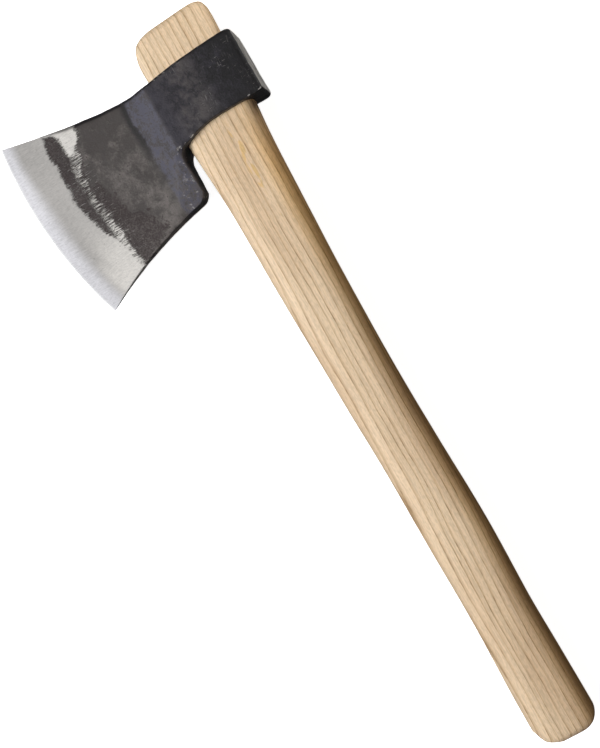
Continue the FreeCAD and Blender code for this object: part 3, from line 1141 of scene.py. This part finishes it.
@dataclass
class AxeHead:
    """Forged head: ground bit, wedge cheeks, a step up to the eye, beard, and a flat poll.

    It is drawn out of its cutting edge, station by station, back to the poll. Each table
    gives a size at places across the head. Lengths are millimetres.
    """

    toe: Point = (-25.7, -101.8)
    heel: Point = (71.75, -92.8)
    edge_centre: Point = (3.48, 114.25)
    edge_radius: float = 218.0
    middle_height: float = 15.0
    blade_top: Outline = Outline((
        Arc((-25.7, -101.8), (-12.6, -36.0), 394.0, 1),
        Arc((-12.6, -36.0), (-12.1, -17.0), 55.0, 1),
        Arc((-12.1, -17.0), (-14.1, 27.0), 323.0, -1),
    ))
    blade_bottom: Outline = Outline((
        Arc((71.75, -92.8), (49.1, -26.2), 224.0, -1),
        ((49.1, -26.2), (45.4, -23.8)),
    ))
    rim: Outline = Outline((
        Arc((29.0, -23.8), (22.3, -15.8), 7.6, -1),
        Arc((22.3, -15.8), (19.0, 4.0), 45.0, -1),
        ((19.0, 4.0), (19.4, 27.0)),
    ))
    bit_depths: tuple[float, ...] = (0.7, 2.0, 2.9, 3.5, 6.0, 9.5, 13.0, 16.5, 20.0, 23.5)
    bit_halves: tuple[Point, ...] = (
        (0.0, 0.18), (3.2, 0.85), (3.3, 0.87), (20.0, 2.35), (23.5, 2.85),
    )
    cheek_steps: int = 9
    step_start: float = -44.0
    step_profile: tuple[Point, ...] = (
        (-44.0, 6.25), (-41.5, 6.5), (-39.6, 6.75), (-38.0, 7.1), (-36.8, 7.7), (-35.2, 8.65),
        (-32.5, 10.2), (-29.5, 11.9), (-27.0, 13.25), (-25.0, 14.2), (-23.8, 14.65),
        (-22.9, 14.87), (-22.0, 14.97), (-20.5, 15.0), (27.0, 15.0),
    )
    beard_face: float = -23.8
    eye_stations: tuple[float, ...] = (
        -23.5, -22.9, -22.0, -20.5, -18.5, -15.8, -12.5, -9.0, -5.0, -1.0, 3.0, 7.0, 11.0, 15.0,
        19.0, 23.0, 25.4, 27.0,
    )
    thin_from: Point = (22.6, 14.2)
    thin_slope: float = 0.287
    thin_to: float = -12.0
    least_change: float = 0.005
    rim_round: float = 2.1
    rim_from: float = -20.0
    poll_inset: float = 1.1
    top_chamfer: tuple[Point, ...] = (
        (-88.0, 0.0), (-78.0, 0.5), (-68.0, 1.1), (-60.0, 1.6), (-45.0, 2.1), (-34.0, 2.2),
        (-22.0, 1.3), (27.0, 1.0),
    )
    throat_share: float = 0.712
    support_share: float = 0.021
    eye_columns: int = 18
    beard_columns: int = 6
    rows: tuple[float, ...] = (-1.0, -0.87, -0.4, 0.4, 0.87, 1.0)
    aside: float = 1000.0
    smooth_angle: float = 38.0
    ripples: tuple[Point, ...] = ((9.0, 0.35), (3.0, 0.12))
    ripple_from: float = -84.0
    ripple_fade: float = 12.0
    finish: ForgedSteel = field(default_factory=ForgedSteel)

    def columns(self) -> list[float]:
        """Space the columns: even across the eye and the beard, close beside each corner.

        Returns:
            Their shares of the way from the toe's side to the heel's.
        """
        throat, support = self.throat_share, self.support_share
        eye_reach, beard_reach = throat - 2 * support, 1 - throat - 2 * support
        eye = [
            support + eye_reach * number / self.eye_columns
            for number in range(self.eye_columns + 1)
        ]
        beard = [
            throat + support + beard_reach * number / self.beard_columns
            for number in range(self.beard_columns + 1)
        ]
        return [0.0, *eye, throat, *beard, 1.0]

    def sheet(self) -> Workpiece:
        """Start with the cutting edge itself, as a thin curved sheet.

        Returns:
            The mesh, with all of it selected.
        """
        columns, aside = self.columns(), self.aside
        spaces, layers = len(columns) - 1, len(self.rows) - 1
        work = Workpiece("forged_head", spaces, layers, (math.pi / 2, 0.0, 0.0))
        length = self.heel[0] - self.toe[0]
        # What is placed goes far aside, so that the next pick can't take it again.
        for number, share in enumerate(columns):
            place = -1.0 + 2.0 * number / spaces
            work.pick(lambda at: abs(at.x - place) < CLOSE)
            along = self.toe[0] + share * length
            work.move(x=along - place + aside)
        half = self.bit_halves[0][1]
        for number, share in enumerate(self.rows):
            place = -1.0 + 2.0 * number / layers
            work.pick(lambda at: abs(at.z - place) < CLOSE)
            work.move(x=-aside, z=self.middle_height + share * half - place + aside)
        work.pick(lambda at: True, faces=True)
        work.move(z=-aside)
        for share in columns:
            along = self.toe[0] + share * length
            work.pick(lambda at: abs(at.x - along) < TOUCH)
            work.move(y=self.edge_at(along))
        work.pick(lambda at: True, faces=True)
        return work

    def edge_at(self, along: float) -> float:
        """Return the cutting edge's place across the head, at a place along the handle."""
        reach = math.sqrt(self.edge_radius**2 - (along - self.edge_centre[0]) ** 2)
        return self.edge_centre[1] - reach

    def lowest(self) -> float:
        """Return the place of the cutting edge's furthest point from the handle."""
        return self.edge_centre[1] - self.edge_radius

    def draw_out(self, work: Workpiece, place: float, bow: float, half: float) -> None:
        """Draw the blade's end face back to its next station.

        Args:
            work: The mesh, with the end face selected.
            place: Where the station's furthest point from the handle lies.
            bow: How much of the cutting edge's bow is left, from 0 to 1.
            half: Half the thickness there.
        """
        work.extrude(y=1.0)
        toe_bow = (self.edge_at(self.toe[0]) - self.lowest()) * bow
        heel_bow = (self.edge_at(self.heel[0]) - self.lowest()) * bow
        if bow > 0:
            reach = [at.y for at in work.places()]
            spread = max(reach) - min(reach)
            wanted = max(toe_bow, heel_bow)
            work.scale(Vector((0, min(reach), 0)), y=wanted / spread)
        else:
            work.scale(Vector((0, place, 0)), y=0.0)
        work.move(y=place - min(at.y for at in work.places()))
        low, high = self.blade_top.x_at(place + toe_bow), self.blade_bottom.x_at(place + heel_bow)
        work.fit(Axis.ALONG, low, high)
        work.fit(Axis.UP, self.middle_height - half, self.middle_height + half)

    def half_at(self, along: float, place: float, half: float, top: bool) -> float:
        """Return half the head's thickness at one point.

        Args:
            along: Place along the handle.
            place: Place across the head.
            half: Half the thickness of the station there.
            top: Whether the point is on the side away from the butt, which is chamfered.

        Returns:
            Half the thickness, in millimetres.
        """
        if top:
            return half - smooth_between(self.top_chamfer, place)
        start, start_half = self.thin_from
        if along > start and place < self.thin_to:
            return min(half, start_half - (along - start) * self.thin_slope)
        return half

    def set_halves(self, work: Workpiece, half: float) -> None:
        """Give each column of the selected station its own thickness, and keep it selected.

        Args:
            work: The mesh, with the station selected.
            half: Half the thickness of the station's thickest column.
        """
        columns: dict[Point, float] = {}
        for at in work.places():
            column = (round(at.x, 2), round(at.y, 2))
            columns[column] = max(columns.get(column, 0.0), at.z - self.middle_height)
        first = min(columns)
        for column, present in columns.items():
            wanted = self.half_at(*column, half, column == first)
            if abs(wanted - present) > self.least_change:
                work.pick(lambda at: touches(at, column))
                work.scale(Vector((0.0, 0.0, self.middle_height)), z=wanted / present)
        work.pick(lambda at: any(touches(at, column) for column in columns))
        bpy.ops.mesh.select_mode(type="FACE")

    def round_rim(self, work: Workpiece, place: float) -> None:
        """Set the last columns so that the eye's lower rim is rounded evenly.

        Args:
            work: The mesh, with an eye station just drawn.
            place: The station's place across the head.
        """
        columns = sorted({round(at.x, 2) for at in work.places()})
        rim, support = columns[-1], columns[-2]
        work.pick(lambda at: touches(at, (support, place)))
        work.move(x=rim - self.rim_round - support)

    def build(self) -> bpy.types.Object:
        """Forge the head from the edge back to the poll.

        Returns:
            The finished mesh object, without its eye.
        """
        work = self.sheet()
        for depth in self.bit_depths:
            self.draw_out(work, self.lowest() + depth, 1.0, smooth_between(self.bit_halves, depth))
        start = self.lowest() + self.bit_depths[-1]
        start_half = self.bit_halves[-1][1]
        for number in range(1, self.cheek_steps + 1):
            share = number / self.cheek_steps
            place = start + (self.step_start - start) * share
            half = start_half + (self.step_profile[0][1] - start_half) * share
            self.draw_out(work, place, 1.0 - share, half)
            self.set_halves(work, half)
        for place, half in self.step_profile[1:]:
            if place <= self.beard_face:
                self.draw_out(work, place, 0.0, half)
                self.set_halves(work, half)
        before = self.beard_face
        throat = self.rim.x_at(before)
        work.pick(lambda at: abs(at.y - before) < TOUCH and at.x < throat, faces=True)
        for place in self.eye_stations:
            half = smooth_between(self.step_profile, place)
            work.extrude(y=place - before)
            work.fit(Axis.ALONG, self.blade_top.x_at(place), self.rim.x_at(place))
            work.fit(Axis.UP, self.middle_height - half, self.middle_height + half)
            self.set_halves(work, half)
            if place > self.rim_from:
                self.round_rim(work, place)
                work.pick(lambda at: abs(at.y - place) < TOUCH, faces=True)
            before = place
        low, high, inset = self.blade_top.x_at(before), self.rim.x_at(before), self.poll_inset
        work.fit(Axis.ALONG, low + inset, high - inset)
        work.fit(Axis.UP, inset, 2 * self.middle_height - inset)
        return work.close()

    def open_eye(self, body: bpy.types.Object, handle: bpy.types.Object) -> None:
        """Cut the eye with the handle's own shape, so the two fit without a gap.

        Args:
            body: The head.
            handle: The finished handle.
        """
        apply_modifier(body, "BOOLEAN", operation="DIFFERENCE", solver="EXACT", object=handle)

    def surface(self, body: bpy.types.Object) -> None:
        """Round the forging's cage and leave the hammer's slight unevenness on it.

        Args:
            body: The head.
        """
        subdivide(body, 2)
        group = body.vertex_groups.new(name="scaled")
        for point in body.data.vertices:
            place = point.co / MM
            share = min(max((place.y - self.ripple_from) / self.ripple_fade, 0.0), 1.0)
            group.add([point.index], share, "REPLACE")
        for size, height in self.ripples:
            ripple(body, size, height, group.name)

    def dress(self, body: bpy.types.Object) -> None:
        """Give the head its finish and its place in the frame.

        Args:
            body: The shaped head.
        """
        bpy.ops.object.select_all(action="DESELECT")
        body.select_set(True)
        bpy.context.view_layer.objects.active = body
        bpy.ops.object.shade_smooth_by_angle(angle=math.radians(self.smooth_angle))
        body.data.materials.clear()
        body.data.materials.append(self.finish.build())
        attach(body, "root")
        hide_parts("axe_head")


# --------------------------------------------------------------------------- stage


class LightWork(Enum):
    """What a soft box is there for."""

    BOTH = "both"
    FORM = "form"
    SHEEN = "sheen"


@dataclass(frozen=True)
class SoftLight:
    """A square soft box.

    Its azimuth is measured from +X and its elevation from the floor, in degrees. Its distance
    and size are metres, its power watts. It may be kept to one kind of light or one piece.
    """

    name: str
    azimuth: float
    elevation: float
    distance: float
    size: float
    power: float
    colour: Colour = (1.0, 1.0, 1.0)
    work: LightWork = LightWork.BOTH
    only: str = ""

    def build(self, aim: Vector) -> bpy.types.Object:
        """Place the light.

        Args:
            aim: What it points at.

        Returns:
            The light.
        """
        turn, lift = math.radians(self.azimuth), math.radians(self.elevation)
        level = math.cos(lift)
        away = Vector((math.cos(turn) * level, math.sin(turn) * level, math.sin(lift)))
        bpy.ops.object.light_add(type="AREA", location=aim + away * self.distance)
        light = bpy.context.object
        light.name = self.name
        light.data.size = self.size
        light.data.energy = self.power
        light.data.color = self.colour
        light.visible_glossy = self.work is not LightWork.FORM
        light.visible_diffuse = self.work is not LightWork.SHEEN
        if self.only:
            lit = bpy.data.collections.new(f"{self.name}_lit")
            lit.objects.link(bpy.data.objects[self.only])
            light.light_linking.receiver_collection = lit
        light.rotation_mode = "QUATERNION"
        light.rotation_quaternion = away.to_track_quat("Z", "Y")
        return light


@dataclass
class Studio:
    """Plain pale floor, soft boxes, and the camera above the hatchet.

    The camera's aim, distance and the middle's height are millimetres, as is the floor's
    height. The lights' aim and the floor's width and walls are metres.
    """

    lights: tuple[SoftLight, ...] = (
        SoftLight("key_light", -100.0, 53.0, 1.5, 1.0, 30.5, work=LightWork.FORM),
        SoftLight("rim_light", -100.0, 5.0, 1.5, 0.9, 2.2, work=LightWork.SHEEN),
        SoftLight(
            "side_light", -100.0, 5.0, 1.5, 0.9, 5.0, work=LightWork.SHEEN, only="ash_handle"
        ),
        SoftLight("sheen_light", -118.0, 55.0, 1.5, 2.2, 14.0, work=LightWork.SHEEN),
        SoftLight("fill_light", 70.0, 40.0, 1.5, 1.0, 1.6, (1.0, 0.74, 0.46)),
        SoftLight("poll_light", 92.0, 14.0, 1.2, 1.2, 10.5, only="forged_head"),
        SoftLight(
            "end_light", 144.0, 10.0, 0.226, 0.08, 0.085, (1.0, 0.90, 0.76), only="ash_handle"
        ),
        SoftLight("beard_light", -20.0, 6.0, 1.2, 0.8, 5.0, only="forged_head"),
    )
    aim: Point = (144.41, -28.4)
    distance: float = 650.0
    lean: float = 8.7
    roll: float = 30.169
    lens: float = 64.66
    film_width: float = 36.0
    clip: Point = (0.01, 50.0)
    middle_height: float = 15.0
    light_aim: tuple[float, float, float] = (0.12, -0.02, 0.0)
    floor_width: float = 12.0
    floor_height: float = -0.4
    wall_height: float = 8.0
    floor_white: Colour = (0.86, 0.86, 0.86)
    floor_rough: float = 0.9
    floor_glow: float = 0.94
    white: Colour = (1.0, 1.0, 1.0)
    sky: float = 0.05

    def camera(self) -> bpy.types.Object:
        """Make the camera: above the hatchet, leant a little towards the poll, and rolled.

        Returns:
            The camera.
        """
        lean, roll = math.radians(self.lean), math.radians(self.roll)
        tip = Matrix.Rotation(-lean, 3, "X")
        right = tip @ Vector((math.sin(roll), math.cos(roll), 0.0))
        up = tip @ Vector((-math.cos(roll), math.sin(roll), 0.0))
        back = tip @ Vector((0.0, 0.0, 1.0))
        place = tip @ Vector((self.aim[0], self.aim[1], self.distance))
        bpy.ops.object.camera_add(location=(place + Vector((0.0, 0.0, self.middle_height))) * MM)
        camera = bpy.context.object
        camera.name = "camera"
        camera.rotation_mode = "QUATERNION"
        camera.rotation_quaternion = Matrix((right, up, back)).transposed().to_quaternion()
        camera.data.lens = self.lens
        camera.data.sensor_width = self.film_width
        camera.data.clip_start, camera.data.clip_end = self.clip
        bpy.context.scene.camera = camera
        return camera

    def floor(self) -> bpy.types.Object:
        """Lay the floor just under the head's lower cheek, its sides turned up as plain walls.

        Returns:
            The floor.
        """
        bpy.ops.object.select_all(action="DESELECT")
        bpy.ops.mesh.primitive_plane_add(
            size=self.floor_width, location=(0.0, 0.0, self.floor_height * MM)
        )
        floor = bpy.context.object
        bpy.ops.object.mode_set(mode="EDIT")
        bpy.ops.mesh.select_mode(type="EDGE")
        bpy.ops.mesh.select_all(action="SELECT")
        bpy.ops.mesh.extrude_edges_move(
            TRANSFORM_OT_translate={"value": (0.0, 0.0, self.wall_height)}
        )
        bpy.ops.object.mode_set(mode="OBJECT")
        floor.name = "studio_floor"
        g = Graph("studio_floor")
        floor.data.materials.append(g.finish({
            "Base Color": (*self.floor_white, 1.0), "Roughness": self.floor_rough,
            "Emission Color": (*self.white, 1.0), "Emission Strength": self.floor_glow,
        }))
        floor.visible_diffuse = floor.visible_glossy = False
        return floor

    def build(self) -> None:
        """Set the stage."""
        world = bpy.data.worlds.new("studio")
        world.use_nodes = True
        background = world.node_tree.nodes["Background"]
        background.inputs["Color"].default_value = (*self.white, 1.0)
        background.inputs["Strength"].default_value = self.sky
        bpy.context.scene.world = world
        bpy.context.scene.view_settings.view_transform = "Standard"
        self.floor()
        for light in self.lights:
            light.build(Vector(self.light_aim))
        self.camera()


def main() -> None:
    """Build the handle, the head and the stage in order."""
    handle_maker, head_maker = Handle(), AxeHead()
    handle = handle_maker.build()
    LOG.info("handle shaped: %d faces", len(handle.data.polygons))
    head = head_maker.build()
    LOG.info("head forged: %d faces", len(head.data.polygons))
    head_maker.surface(head)
    head_maker.open_eye(head, handle)
    LOG.info("eye opened: %d faces", len(head.data.polygons))
    handle_maker.dress(handle)
    head_maker.dress(head)
    Studio().build()


if __name__ == "__main__":
    logging.basicConfig(level=logging.INFO, format="%(name)s: %(message)s")
    main()
